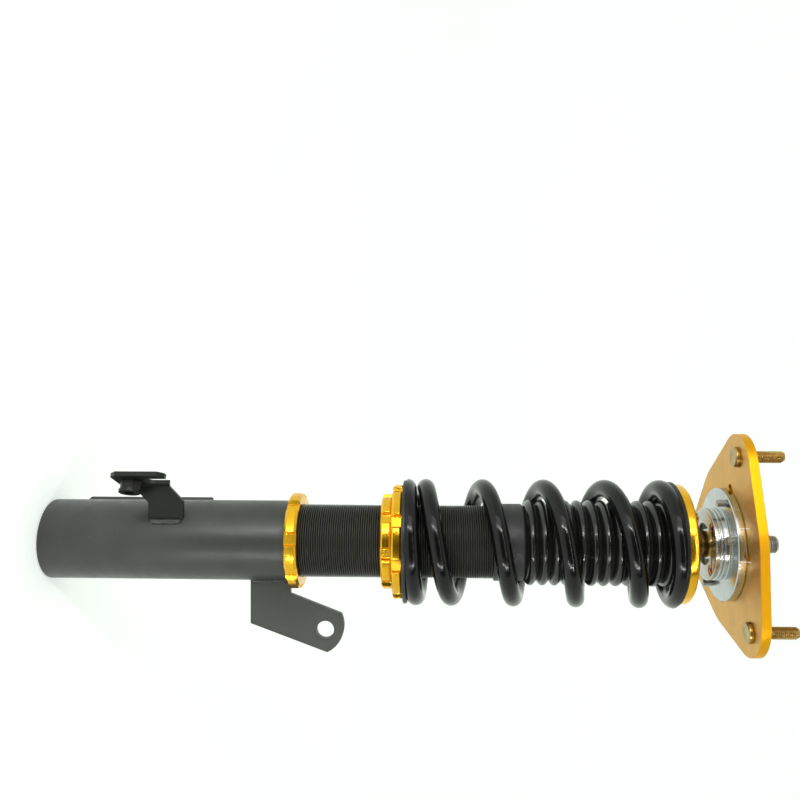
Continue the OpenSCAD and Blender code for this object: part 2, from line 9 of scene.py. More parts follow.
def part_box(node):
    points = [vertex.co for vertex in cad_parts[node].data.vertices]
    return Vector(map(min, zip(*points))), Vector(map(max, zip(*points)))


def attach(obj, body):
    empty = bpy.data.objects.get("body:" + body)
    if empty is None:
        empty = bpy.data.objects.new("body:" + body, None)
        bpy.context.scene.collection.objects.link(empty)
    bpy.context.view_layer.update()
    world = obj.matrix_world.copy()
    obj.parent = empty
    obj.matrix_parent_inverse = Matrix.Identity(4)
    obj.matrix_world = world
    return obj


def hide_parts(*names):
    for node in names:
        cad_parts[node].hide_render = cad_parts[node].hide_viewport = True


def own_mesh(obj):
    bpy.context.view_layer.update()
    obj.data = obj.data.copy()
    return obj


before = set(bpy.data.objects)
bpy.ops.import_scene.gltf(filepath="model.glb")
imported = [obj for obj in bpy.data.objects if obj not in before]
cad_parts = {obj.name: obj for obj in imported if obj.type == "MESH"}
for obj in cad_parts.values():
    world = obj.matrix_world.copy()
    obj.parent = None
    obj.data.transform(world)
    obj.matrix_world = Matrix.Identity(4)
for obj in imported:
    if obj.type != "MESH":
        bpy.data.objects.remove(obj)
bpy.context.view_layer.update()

MM = 0.001
TURN = 2 * math.pi
FLANGE_T = 5.5 * MM       # thickness of the bearing housing's flange
LINE_PROUD = 0.06 * MM    # how far a line of painted highlight stands out of its face
FLANGE_GAP = 0.08 * MM    # keeps the flange clear of the painted highlight lines that it slides over
STEM_BORE = 6.1 * MM      # bore of what sits on the rod's threaded stem

bl_info = {
    "name": "Coilover strut finish",
    "version": (1, 0, 0),
    "blender": (4, 5, 0),
    "location": "View3D > Sidebar > Strut",
    "description": "Builds the visible pieces and finishes of a coilover strut over its frame",
    "category": "Object",
}


def linear(code):
    """sRGB hex such as #C8901E to linear RGB."""
    parts = [int(code[i:i + 2], 16) / 255 for i in (1, 3, 5)]
    return tuple(c / 12.92 if c <= 0.04045 else ((c + 0.055) / 1.055) ** 2.4 for c in parts)


def colour(label, code):
    return FloatVectorProperty(name=label, description=f"Colour of the {label.lower()}",
                               subtype="COLOR", size=3, min=0, max=1, default=linear(code))


def size(label, text, value):
    """A length property in metres whose default is given in millimetres."""
    return FloatProperty(name=label, description=text, unit="LENGTH", min=0, default=value * MM)


class StrutColours(bpy.types.PropertyGroup):
    gold: colour("Gold anodising", "#EBB22C")
    plate: colour("Plate anodising", "#CFA052")
    rim: colour("Plate rim anodising", "#DC9E14")
    paint: colour("Black paint", "#2C2E2A")
    thread: colour("Thread coating", "#161614")
    spring: colour("Spring powder coat", "#070707")
    rubber: colour("Rubber", "#0B0B0A")
    silver: colour("Turned aluminium", "#B4B9B8")
    zinc: colour("Yellow zinc plating", "#B59B62")
    # painted highlight: colour of the white lines that stand in for the lamp strips' reflections
    mark: colour("Index lines", "#F3EBDC")
    floor: colour("Floor", "#F4F7F4")


class StrutSizes(bpy.types.PropertyGroup):
    thread_pitch: size("Body thread pitch", "Pitch of the fine thread on the damper body", 1.5)
    thread_depth: size("Body thread depth", "Depth of that thread", 0.85)
    wire: size("Spring wire", "Diameter of the spring wire", 12.3)
    turns: FloatProperty(name="Spring turns", description="Turns from end to end", default=5.69)
    closed_low: FloatProperty(name="Lower closed turns", default=1.1,
                              description="Turns that lie closed on the perch")
    closed_high: FloatProperty(name="Upper closed turns", default=0.84,
                               description="Turns that lie closed at the top")
    over: size("Ground rise", "Rise of the last coil's centre above the ground end", 3.15)
    folds: IntProperty(name="Boot folds", default=12,
                       description="Number of folds in the dust boot")
    fold_depth: size("Boot fold depth", "Depth of one fold", 4.6)
    boot_wall: size("Boot wall", "Wall of the dust boot", 1.4)
    edge: size("Edge rounding", "Width of the rounding on machined edges", 0.35)
    stud_circle: size("Stud circle", "Radius of the circle of mounting studs", 64)
    plate_turn: FloatProperty(name="Plate turn", description="Turn of the plate round the strut",
                              subtype="ANGLE", default=math.radians(-11.4))
    camber_turn: FloatProperty(name="Camber slot direction", subtype="ANGLE",
                               description="Direction of the camber slots",
                               default=math.radians(-38.5))


def sizes():
    return bpy.context.scene.strut_sizes


def colours():
    return bpy.context.scene.strut_colours


# ---- shading ----

def add_node(tree, kind, values=None, links=None, **settings):
    """Adds one node, with its settings, its input values and its incoming links."""
    new = tree.nodes.new(kind)
    for name, value in settings.items():
        setattr(new, name, value)
    for name, value in (values or {}).items():
        new.inputs[name].default_value = value
    for name, source in (links or {}).items():
        tree.links.new(source, new.inputs[name])
    return new


def new_finish(name, **constants):
    """A material with a Principled shader whose plain values are set on its own sockets."""
    made = bpy.data.materials.new(name)
    made.use_nodes = True
    tree = made.node_tree
    shader = tree.nodes["Principled BSDF"]
    for socket, value in constants.items():
        shader.inputs[socket.replace("_", " ")].default_value = value
    place = add_node(tree, "ShaderNodeTexCoord").outputs["Object"]
    return made, tree, shader, place


def grain(tree, place, mm, detail=3):
    """Noise whose blotches are about mm millimetres across."""
    return add_node(tree, "ShaderNodeTexNoise",
                    {"Scale": 1 / (mm * MM), "Detail": detail, "Roughness": 0.5},
                    {"Vector": place}).outputs[0]


def spread(tree, value, low, high, start=0.3, stop=0.7):
    """Maps a pattern to the range from low to high."""
    return add_node(tree, "ShaderNodeMapRange",
                    {"From Min": start, "From Max": stop, "To Min": low, "To Max": high},
                    {"Value": value}).outputs[0]


def tint(tree, shader, factor, dark, light):
    """Varies the base colour between two tones."""
    mix = add_node(tree, "ShaderNodeMix", links={"Factor": factor}, data_type="RGBA")
    mix.inputs["A"].default_value = (*dark, 1)
    mix.inputs["B"].default_value = (*light, 1)
    tree.links.new(mix.outputs["Result"], shader.inputs["Base Color"])
    return mix


def relief(tree, shader, height, mm, strength=1.0, under=None):
    """Adds a bump whose full height is mm millimetres."""
    links = {"Height": height}
    if under:
        links["Normal"] = under
    bump = add_node(tree, "ShaderNodeBump", {"Strength": strength, "Distance": mm * MM}, links)
    tree.links.new(bump.outputs[0], shader.inputs["Normal"])
    return bump.outputs[0]


def shade_of(rgb, gain):
    return tuple(min(1.0, c * gain) for c in rgb)


def anodised(name, rgb, rough, blast_mm, rim=None):
    """Anodised aluminium: a coloured metal, evenly dulled by blasting; a milled rim is richer."""
    made, tree, shader, place = new_finish(name, Metallic=1.0)
    cloud = grain(tree, place, 14)
    mix = tint(tree, shader, spread(tree, cloud, 0, 1), shade_of(rgb, 0.9), shade_of(rgb, 1.06))
    if rim:
        size_of = add_node(tree, "ShaderNodeVectorMath", operation="ABSOLUTE",
                           links={"Vector": place.node.outputs["Normal"]}).outputs["Vector"]
        upright = add_node(tree, "ShaderNodeSeparateXYZ", links={"Vector": size_of}).outputs[2]
        edge = add_node(tree, "ShaderNodeMix", data_type="RGBA",
                        links={"Factor": spread(tree, upright, 1, 0, 0.5, 0.9),
                               "A": mix.outputs["Result"]})
        edge.inputs["B"].default_value = (*rim, 1)
        tree.links.new(edge.outputs["Result"], shader.inputs["Base Color"])
    fine = grain(tree, place, blast_mm, detail=2)
    tree.links.new(spread(tree, fine, rough - 0.05, rough + 0.07), shader.inputs["Roughness"])
    relief(tree, shader, fine, 0.012, 0.2)
    return made


def turned_metal(name, rgb, rough, step_mm, metallic=1.0):
    """Lathe-turned metal: fine rings round the axis that stretch the highlights."""
    made, tree, shader, place = new_finish(name, Metallic=metallic)
    cloud = grain(tree, place, 9)
    tint(tree, shader, spread(tree, cloud, 0, 1), shade_of(rgb, 0.93), shade_of(rgb, 1.03))
    rings = add_node(tree, "ShaderNodeTexWave",
                     {"Scale": 0.314 / (step_mm * MM), "Distortion": 0.6, "Detail": 1.0},
                     {"Vector": place}, wave_type="RINGS", rings_direction="Z").outputs[1]
    bands = add_node(tree, "ShaderNodeTexWave",
                     {"Scale": 0.314 / (step_mm * MM), "Distortion": 0.4},
                     {"Vector": place}, wave_type="BANDS", bands_direction="Z").outputs[1]
    first = relief(tree, shader, rings, 0.004, 0.3)
    relief(tree, shader, bands, 0.004, 0.3, under=first)
    tree.links.new(spread(tree, grain(tree, place, 2.5), rough - 0.04, rough + 0.08),
                   shader.inputs["Roughness"])
    return made


def black_paint(name="satin_black_enamel", gain=1.0, ior=1.5):
    """Sprayed satin black enamel over steel: slight orange peel and a few dust nibs.

    A lower gain and index give the deeper black of a bracket that lies in its own shade."""
    rgb = shade_of(tuple(colours().paint), gain)
    made, tree, shader, place = new_finish(name, IOR=ior, Coat_Weight=0.12,
                                           Coat_Roughness=0.3)
    cloud = grain(tree, place, 22)
    nibs = spread(tree, grain(tree, place, 1.3, detail=1), 0, 1, 0.74, 0.8)
    mix = tint(tree, shader, spread(tree, cloud, 0, 1), shade_of(rgb, 0.85), shade_of(rgb, 1.25))
    dust = add_node(tree, "ShaderNodeMix", links={"Factor": nibs, "A": mix.outputs["Result"]},
                    data_type="RGBA")
    dust.inputs["B"].default_value = (*shade_of(rgb, 3.5), 1)
    tree.links.new(dust.outputs["Result"], shader.inputs["Base Color"])
    tree.links.new(spread(tree, grain(tree, place, 6), 0.36, 0.47), shader.inputs["Roughness"])
    first = relief(tree, shader, grain(tree, place, 2.2, detail=2), 0.05, 0.35)
    relief(tree, shader, nibs, 0.06, 0.6, under=first)
    return made


def thread_coat():
    """Black electrophoretic coat on a cut thread: dark in the roots, rubbed grey on the crests."""
    rgb = tuple(colours().thread)
    made, tree, shader, place = new_finish("black_coated_thread", IOR=1.33, Metallic=0.1)
    parts = add_node(tree, "ShaderNodeSeparateXYZ", links={"Vector": place})
    flat = add_node(tree, "ShaderNodeCombineXYZ",
                    links={"X": parts.outputs[0], "Y": parts.outputs[1]})
    radius = add_node(tree, "ShaderNodeVectorMath", links={"Vector": flat.outputs[0]},
                      operation="LENGTH").outputs["Value"]
    outer = span("threaded_body")[2]
    # painted light by radius: the roots darkened as painted shade, the crests lightened as painted
    # highlight
    crest_light_and_root_shade = spread(tree, radius, 0, 1, outer - 0.55 * MM, outer - 0.05 * MM)
    tint(tree, shader, crest_light_and_root_shade, shade_of(rgb, 0.25), shade_of(rgb, 7))
    tree.links.new(spread(tree, grain(tree, place, 6), 0.3, 0.38), shader.inputs["Roughness"])
    return made


def spring_coat():
    """Gloss black powder coat on spring steel: deep black, a slow ripple under a hard gloss."""
    rgb = tuple(colours().spring)
    made, tree, shader, place = new_finish("gloss_black_powder_coat", IOR=1.3, Coat_Weight=0.15,
                                           Coat_Roughness=0.05)
    tint(tree, shader, grain(tree, place, 12), shade_of(rgb, 0.8), shade_of(rgb, 1.8))
    tree.links.new(spread(tree, grain(tree, place, 5), 0.13, 0.2), shader.inputs["Roughness"])
    relief(tree, shader, grain(tree, place, 5.0, detail=1), 0.03, 0.15)
    return made


def moulded_rubber(name, low, high, peel_mm):
    """Moulded black rubber: near-black, a soft sheen and faint bloom in patches."""
    rgb = tuple(colours().rubber)
    made, tree, shader, place = new_finish(name, IOR=1.52, Sheen_Weight=0.03)
    bloom = spread(tree, grain(tree, place, 16, detail=2), 0, 1, 0.45, 0.8)
    tint(tree, shader, bloom, rgb, shade_of(rgb, 1.5))
    tree.links.new(spread(tree, grain(tree, place, 4), low, high), shader.inputs["Roughness"])
    relief(tree, shader, grain(tree, place, peel_mm, detail=1), 0.015, 0.2)
    return made


def zinc_plate():
    """Yellow-passivated zinc on steel: brassy, with pink and green drift in the film."""
    rgb = tuple(colours().zinc)
    made, tree, shader, place = new_finish("yellow_zinc_plating", Metallic=1.0)
    drift = spread(tree, grain(tree, place, 14, detail=2), 0, 1)
    tint(tree, shader, drift, shade_of(rgb, 0.78), (min(1, rgb[0] * 1.12), rgb[1] * 1.08, rgb[2]))
    tree.links.new(spread(tree, grain(tree, place, 5), 0.22, 0.3), shader.inputs["Roughness"])
    return made


def plain_steel(name, code, rough):
    """Bright zinc or ground steel with faint blotches."""
    made, tree, shader, place = new_finish(name, Metallic=1.0)
    rgb = linear(code)
    tint(tree, shader, spread(tree, grain(tree, place, 12), 0, 1), shade_of(rgb, 0.88), rgb)
    tree.links.new(spread(tree, grain(tree, place, 5), rough - 0.03, rough + 0.05),
                   shader.inputs["Roughness"])
    return made


def highlight_line_paint():
    """White engraving filler in the index lines."""
    rgb = tuple(colours().mark)
    made, tree, shader, place = new_finish("white_painted_highlight", IOR=1.5)
    tint(tree, shader, grain(tree, place, 0.8), shade_of(rgb, 0.85), rgb)
    tree.links.new(spread(tree, grain(tree, place, 0.5), 0.5, 0.65), shader.inputs["Roughness"])
    return made


def foam(name, code):
    """Cast microcellular polyurethane or bonded liner: dull, finely pitted."""
    made, tree, shader, place = new_finish(name, IOR=1.48)
    rgb = linear(code)
    tint(tree, shader, grain(tree, place, 2.0), shade_of(rgb, 0.85), rgb)
    tree.links.new(spread(tree, grain(tree, place, 0.7), 0.55, 0.7), shader.inputs["Roughness"])
    relief(tree, shader, grain(tree, place, 0.6), 0.05, 0.5)
    return made


FINISHES = {}


def make_finishes():
    c = colours()
    FINISHES.update(
        paint=black_paint(),
        # painted shade: a darkened copy of the black enamel
        shadowed=black_paint("shadowed_black_enamel", 0.3, 1.3),
        gold=anodised("gold_anodised_aluminium", tuple(c.gold), 0.2, 0.7),
        plate=anodised("blasted_gold_anodised_plate", tuple(c.plate), 0.4, 0.6,
                       tuple(c.rim)),
        thread=thread_coat(),
        spring=spring_coat(),
        boot=moulded_rubber("gloss_moulded_rubber", 0.17, 0.22, 4),
        rubber=moulded_rubber("pressed_rubber_ring", 0.4, 0.52, 1.2),
        plastic=moulded_rubber("matt_black_nylon", 0.42, 0.55, 0.9),
        silver=turned_metal("turned_aluminium", tuple(c.silver), 0.2, 0.45),
        steel=plain_steel("bright_zinc_steel", "#A9ABA8", 0.28),
        dark_steel=plain_steel("plain_steel_thread", "#A3A4A0", 0.3),
        copper=plain_steel("copper_flashed_steel", "#C98A5C", 0.24),
        chrome=turned_metal("hard_chrome_rod", linear("#C9CCCD"), 0.08, 0.3),
        zinc=zinc_plate(),
        # white paint for the painted highlight lines
        mark=highlight_line_paint(),
        foam=foam("cast_polyurethane", "#C8B458"),
        liner=foam("bonded_liner_fabric", "#5B6B52"),
    )


# ---- modelling ----

def only(piece):
    bpy.ops.object.select_all(action="DESELECT")
    piece.select_set(True)
    bpy.context.view_layer.objects.active = piece


def edit(piece, *steps):
    """Runs the given edit-mode steps on the piece, with everything in it selected first."""
    only(piece)
    bpy.ops.object.mode_set(mode="EDIT")
    bpy.ops.mesh.select_all(action="SELECT")
    for step in steps:
        step()
    bpy.ops.object.mode_set(mode="OBJECT")


def weld_points(gap=1e-6):
    bpy.ops.mesh.remove_doubles(threshold=gap)


def face_out():
    bpy.ops.mesh.select_all(action="SELECT")
    bpy.ops.mesh.normals_make_consistent(inside=False)


def close_holes():
    bpy.ops.mesh.select_all(action="DESELECT")
    bpy.ops.mesh.select_mode(type="EDGE")
    bpy.ops.mesh.select_non_manifold(extend=False, use_wire=False, use_multi_face=False,
                                     use_non_contiguous=False, use_verts=False)
    bpy.ops.mesh.fill_holes(sides=0)
    bpy.ops.mesh.select_mode(type="VERT")


def shaped_by(piece, kind, **settings):
    """Adds one modifier, sets it and applies it."""
    only(piece)
    bpy.ops.object.modifier_add(type=kind)
    modifier = piece.modifiers[-1]
    for name, value in settings.items():
        setattr(modifier, name, value)
    bpy.ops.object.modifier_apply(modifier=modifier.name)


def smooth(piece, degrees=32):
    only(piece)
    bpy.ops.object.shade_smooth_by_angle(angle=math.radians(degrees))


def round_edges(piece, width, segments=2, degrees=35):
    shaped_by(piece, "BEVEL", width=width, segments=segments, limit_method="ANGLE",
              angle_limit=math.radians(degrees), harden_normals=False)


def place(piece, x=0.0, y=0.0, z=0.0):
    only(piece)
    bpy.ops.transform.translate(value=(x, y, z))
    bpy.ops.object.transform_apply(location=True, rotation=True, scale=True)


def spun(name, outline, steps=128, rounding=0.0):
    """A turned piece: a closed outline of (radius, height) points in metres, spun about Z."""
    bpy.ops.object.select_all(action="DESELECT")
    bpy.ops.mesh.primitive_circle_add(vertices=len(outline), radius=1)
    piece = bpy.context.object
    piece.name = piece.data.name = name
    for vertex, (r, z) in zip(piece.data.vertices, outline):
        vertex.co = (r, 0, z)
    shaped_by(piece, "SCREW", axis="Z", angle=TURN, steps=steps, render_steps=steps,
              use_merge_vertices=True, merge_threshold=1e-6, use_smooth_shade=False)
    edit(piece, weld_points, face_out)
    if rounding:
        round_edges(piece, rounding)
    smooth(piece)
    return piece


def threaded(name, radius, depth, pitch, low, high, steps=64, tip=0.0):
    """A solid threaded bar along Z: one tooth outline, spun up the pitch, its ends cut flat."""
    teeth = math.ceil((high - low) / pitch) + 2
    tooth = [(radius - depth, 0.0), (radius - 0.1 * depth, 0.38), (radius, 0.44),
             (radius, 0.56), (radius - 0.1 * depth, 0.62), (radius - depth, 1.0)]
    bpy.ops.object.select_all(action="DESELECT")
    bpy.ops.mesh.primitive_circle_add(vertices=len(tooth), radius=1)
    piece = bpy.context.object
    piece.name = piece.data.name = name
    for vertex, (r, share) in zip(piece.data.vertices, tooth):
        vertex.co = (r, 0, low - 1.5 * pitch + share * pitch)

    def drop_closing_edge():
        bpy.ops.mesh.select_all(action="DESELECT")
        bpy.ops.mesh.select_mode(type="EDGE")
        bpy.ops.object.mode_set(mode="OBJECT")
        for side in piece.data.edges:
            side.select = set(side.vertices) == {0, len(tooth) - 1}
        bpy.ops.object.mode_set(mode="EDIT")
        bpy.ops.mesh.delete(type="EDGE")
        bpy.ops.mesh.select_mode(type="VERT")

    edit(piece, drop_closing_edge)
    shaped_by(piece, "SCREW", axis="Z", angle=TURN, screw_offset=pitch, iterations=teeth,
              steps=steps, render_steps=steps, use_merge_vertices=False)

    def cut(height, upper):
        bpy.ops.mesh.select_all(action="SELECT")
        bpy.ops.mesh.bisect(plane_co=(0, 0, height), plane_no=(0, 0, 1), use_fill=False,
                            clear_inner=not upper, clear_outer=upper, threshold=1e-7)

    edit(piece, lambda: weld_points(pitch * 1e-3), lambda: cut(low, False),
         lambda: cut(high - tip, True))
    if tip:
        def chamfer():
            bpy.ops.mesh.select_all(action="DESELECT")
            bpy.ops.object.mode_set(mode="OBJECT")
            for vertex in piece.data.vertices:
                vertex.select = abs(vertex.co.z - (high - tip)) < 1e-7
            bpy.ops.object.mode_set(mode="EDIT")
            bpy.ops.mesh.extrude_region_move(TRANSFORM_OT_translate={"value": (0, 0, tip)})
            bpy.ops.transform.resize(value=(0.82, 0.82, 1), center_override=(0, 0, high))
        edit(piece, chamfer)
    edit(piece, close_holes, face_out)
    smooth(piece, 25)
    return piece


def dressed(name, *nodes, rounding=None, segments=2):
    """A merged copy of CAD nodes whose sharp edges are rounded; it stands for those nodes."""
    rounding = sizes().edge if rounding is None else rounding
    copies = []
    for node in nodes:
        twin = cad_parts[node].copy()
        twin.data = twin.data.copy()
        twin.parent = None
        for key in list(twin.keys()):
            del twin[key]
        bpy.context.scene.collection.objects.link(twin)
        copies.append(twin)
    bpy.ops.object.select_all(action="DESELECT")
    for twin in copies:
        twin.select_set(True)
    bpy.context.view_layer.objects.active = copies[0]
    if len(copies) > 1:
        bpy.ops.object.join()
    piece = bpy.context.view_layer.objects.active
    piece.name = piece.data.name = name
    edit(piece, weld_points, lambda: bpy.ops.mesh.dissolve_limited(angle_limit=math.radians(0.7)))
    if rounding:
        round_edges(piece, rounding, segments)
    smooth(piece)
    shaped_by(piece, "WEIGHTED_NORMAL", keep_sharp=True)
    return piece


def fit_out(piece, finish, body, slot, *nodes):
    """Gives a finished piece its material, its body, its slot and the CAD nodes it stands for."""
    piece.data.materials.clear()
    piece.data.materials.append(FINISHES[finish])
    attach(piece, body)
    if nodes:
        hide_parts(*nodes)


def span(node):
    """Lowest and highest z of a CAD node and its greatest x, in metres."""
    low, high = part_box(node)
    return low.z, high.z, high.x


def joined(name, pieces):
    bpy.ops.object.select_all(action="DESELECT")
    for piece in pieces:
        piece.select_set(True)
    bpy.context.view_layer.objects.active = pieces[0]
    bpy.ops.object.join()
    whole = bpy.context.view_layer.objects.active
    whole.name = whole.data.name = name
    return whole


def eased(x, width):
    """Zero before x = 0 and x after it, smoothed over the given width."""
    if x <= -width / 2:
        return 0.0
    if x >= width / 2:
        return x
    u = x / width + 0.5
    return width * (u ** 3 - u ** 4 / 2)


# ---- the pieces ----

def build_knuckle_side():
    low, high, radius = span("lower_tube")
    wall = 2.4 * MM
    bore = radius - wall
    tube = spun("clamp_tube", [(bore, low + 6 * MM), (bore, high), (radius, high),
                               (radius, low), (bore, low)], 160, 0.5 * MM)
    fit_out(tube, "paint", "knuckle_side", "satin_black_paint", "lower_tube")
    disc_low, disc_high = span("tube_base_disc")[:2]
    rim = bore - 0.05 * MM
    disc = spun("tube_end_disc", [(0, disc_low + 1.5 * MM), (rim - 4 * MM, disc_low + 1.5 * MM),
                                  (rim - 2 * MM, disc_low + 0.3 * MM), (rim, disc_low + 0.6 * MM),
                                  (rim, disc_high), (0, disc_high)], 96, 0.3 * MM)
    fit_out(disc, "paint", "knuckle_side", "satin_black_paint", "tube_base_disc")
    for name, node in (("locating_key", "locating_rib"), ("drop_link_tab", "link_tab"),
                       ("brake_hose_bracket", "hose_bracket")):
        piece = dressed(name, node, rounding=0.5 * MM)
        # the hose bracket takes the darkened copy of the enamel as painted shade
        finish = "shadowed" if node == "hose_bracket" else "paint"
        fit_out(piece, finish, "knuckle_side", "satin_black_paint", node)
    # the weld nut takes the same darkened black as painted shade
    nut = dressed("bracket_weld_nut", "hose_weld_nut", rounding=0.4 * MM)
    fit_out(nut, "shadowed", "knuckle_side", "zinc_steel", "hose_weld_nut")


def rippled_bead(name, x, y, low, high, radius):
    """A run of weld: a round bar whose surface is stepped by the overlapping puddles."""
    puddle = 1.7 * MM
    count = int((high - low) / puddle) * 5
    outline = [(0, low - radius * 0.8)]
    for i in range(count + 1):
        z = low + (high - low) * i / count
        phase = ((z - low) / puddle) % 1
        end = min(1, (z - low + radius * 0.5) / radius, (high - z + radius * 0.5) / radius)
        outline.append((radius * (0.86 + 0.14 * math.sin(math.pi * phase)) * end ** 0.5, z))
    outline.append((0, high + radius * 0.8))
    bead = spun(name, outline, 32)
    place(bead, x, y)
    return bead


def build_welds():
    radius = span("lower_tube")[2]
    tab_low = span("link_tab")[0]
    foot = tab_low + 28 * MM
    beads = [rippled_bead(f"tab_bead_{side}", radius + 0.1 * MM, side * 3.1 * MM,
                          tab_low + 2.6 * MM, foot - 2.6 * MM, 2.1 * MM) for side in (-1, 1)]
    foot_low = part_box("hose_bracket")[1].z - 24 * MM
    lie = -math.sqrt(radius ** 2 - (22 * MM) ** 2)
    beads.append(rippled_bead("bracket_bead", lie + 0.7 * MM, -22.7 * MM, foot_low + 2 * MM,
                              foot_low + 22 * MM, 2.1 * MM))
    run = joined("weld_runs", beads)
    smooth(run, 60)
    fit_out(run, "paint", "knuckle_side", "satin_black_paint", "weld_beads")


def build_collars():
    for name, node, body in (("tube_lock_collar", "lower_lock_collar", "lock_collar"),
                             ("perch_jam_ring", "perch_lock_ring", "perch_pair"),
                             ("screwed_perch", "spring_perch", "perch_pair")):
        collar = dressed(name, node, rounding=0.45 * MM, segments=3)
        fit_out(collar, "gold", body, "gold_anodised", node)


def build_body():
    s = sizes()
    low, high, radius = span("threaded_body")
    wall = 3 * MM
    collar_low = span("lower_lock_collar")[0]
    start = collar_low - 40 * MM
    cuff_low = span("boot_cuff")[0]
    stop = cuff_low + 6 * MM
    screw = threaded("fine_body_thread", radius, s.thread_depth, s.thread_pitch, start, stop, 96)
    core = radius - s.thread_depth * 1.05
    bore = radius - wall
    shell = spun("body_shell", [(0, low), (radius - 0.2 * MM, low), (radius - 0.2 * MM, start),
                                (core, start), (core, stop), (radius - 0.2 * MM, stop),
                                (radius - 0.2 * MM, high), (bore, high), (bore, low + 6 * MM),
                                (0, low + 6 * MM)], 96)
    edit(screw, hollow_ends)
    fit_out(screw, "thread", "damper_body", "black_thread", "threaded_body")
    fit_out(shell, "thread", "damper_body", "black_thread")


def hollow_ends():
    """Takes the flat ends off a threaded bar, so that only its skin is left round the shell."""
    piece = bpy.context.object
    bpy.ops.mesh.select_all(action="DESELECT")
    bpy.ops.object.mode_set(mode="OBJECT")
    for face in piece.data.polygons:
        face.select = len(face.vertices) > 8
    bpy.ops.object.mode_set(mode="EDIT")
    bpy.ops.mesh.select_mode(type="FACE")
    bpy.ops.mesh.inset(thickness=0.0004)
    bpy.ops.mesh.select_mode(type="VERT")


def build_boot():
    s = sizes()
    low, high, radius = span("dust_boot")
    pitch = (high - low) / s.folds
    fine = 14
    valley = radius - s.fold_depth
    outer = []
    for i in range(s.folds * fine + 1):
        swell = abs(math.sin(math.pi * i / fine)) ** 0.62
        outer.append((valley + s.fold_depth * swell, low + pitch * i / fine))
    inner = [(r - s.boot_wall, z) for r, z in reversed(outer)]
    boot = spun("pleated_dust_boot", outer + inner, 112)
    fit_out(boot, "boot", "damper_body", "black_rubber", "dust_boot")
    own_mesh(boot)
    cuff_low, cuff_high, cuff_r = span("boot_cuff")
    inside = cuff_r - 1.2 * MM
    lip = cuff_r - 4.2 * MM
    groove = cuff_high - 5 * MM
    cuff = spun("boot_cuff_sleeve", [
        (inside, cuff_low), (cuff_r - 0.3 * MM, cuff_low), (cuff_r, cuff_low + 0.8 * MM),
        (cuff_r, cuff_high - 1.6 * MM), (cuff_r - 0.5 * MM, cuff_high - 0.6 * MM),
        (cuff_r - 1.6 * MM, cuff_high), (lip, cuff_high), (lip, groove + 1 * MM),
        (inside, groove + 1 * MM)], 128, 0.2 * MM)
    fit_out(cuff, "plastic", "damper_body", "black_plastic", "boot_cuff")


def build_spring():
    s = sizes()
    low, high, outer = span("coil_spring")
    wire_r = s.wire / 2
    coil_r = outer - wire_r
    sides, steps = 28, 64
    count = round(s.turns * steps)
    bpy.ops.object.select_all(action="DESELECT")
    bpy.ops.mesh.primitive_circle_add(vertices=sides, radius=wire_r, location=(coil_r, 0, 0),
                                      rotation=(math.pi / 2, 0, 0))
    bpy.ops.object.transform_apply(location=True, rotation=True, scale=True)
    coil = bpy.context.object
    coil.name = coil.data.name = "coil_spring_wire"
    shaped_by(coil, "SCREW", axis="Z", angle=s.turns * TURN, steps=count, render_steps=count,
              use_merge_vertices=False)
    end_pitch = s.wire + 0.3 * MM
    active = s.turns - s.closed_low - s.closed_high
    extra = (high - low + s.over - end_pitch * s.turns) / active
    start = Matrix.Rotation(math.radians(170), 4, "Z")
    for index, vertex in enumerate(coil.data.vertices):
        t = s.turns * (index // sides) / count
        rise = end_pitch * t + extra * (eased(t - s.closed_low, 0.3)
                                        - eased(t - s.closed_low - active, 0.3))
        vertex.co = start @ (vertex.co + Vector((0, 0, low + rise)))

    def grind(height, upper):
        bpy.ops.mesh.select_all(action="SELECT")
        bpy.ops.mesh.bisect(plane_co=(0, 0, height), plane_no=(0, 0, 1), use_fill=True,
                            clear_inner=not upper, clear_outer=upper)

    edit(coil, close_holes, face_out, lambda: grind(low + 0.02 * MM, False),
         lambda: grind(high - 0.02 * MM, True), face_out)
    smooth(coil, 40)
    fit_out(coil, "spring", "spring_foot", "black_spring_coat", "coil_spring")
    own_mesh(coil)


def build_spring_seats():
    low, high, outer = span("lower_spring_ring")
    inner = outer - 12.1 * MM
    foot = spun("spring_foot_ring", [(inner, low), (outer, low), (outer, high), (inner, high)],
                128, 0.5 * MM)
    fit_out(foot, "rubber", "spring_foot", "black_rubber", "lower_spring_ring")
    low, high, outer = span("upper_spring_ring")
    mid = (low + high) / 2
    head = spun("spring_head_ring", [
        (21 * MM, low), (outer - 0.7 * MM, low), (outer, low + 0.6 * MM), (outer, mid - 0.3 * MM),
        (outer - 0.5 * MM, mid), (outer, mid + 0.3 * MM), (outer, high - 0.5 * MM),
        (outer - 0.5 * MM, high), (21 * MM, high)], 128, 0.15 * MM)
    fit_out(head, "rubber", "rod_assembly", "black_rubber", "upper_spring_ring")
    low, high, outer = span("upper_spring_seat")
    seat = spun("spring_seat_disc", [
        (STEM_BORE, low), (outer - 0.8 * MM, low), (outer, low + 0.8 * MM),
        (outer, high - 1.2 * MM), (outer - 1.2 * MM, high), (20 * MM, high),
        (19 * MM, high - 1 * MM),
        (14 * MM, high - 1 * MM), (13.4 * MM, high), (STEM_BORE, high)], 160, 0.2 * MM)
    fit_out(seat, "gold", "rod_assembly", "gold_anodised", "upper_spring_seat")


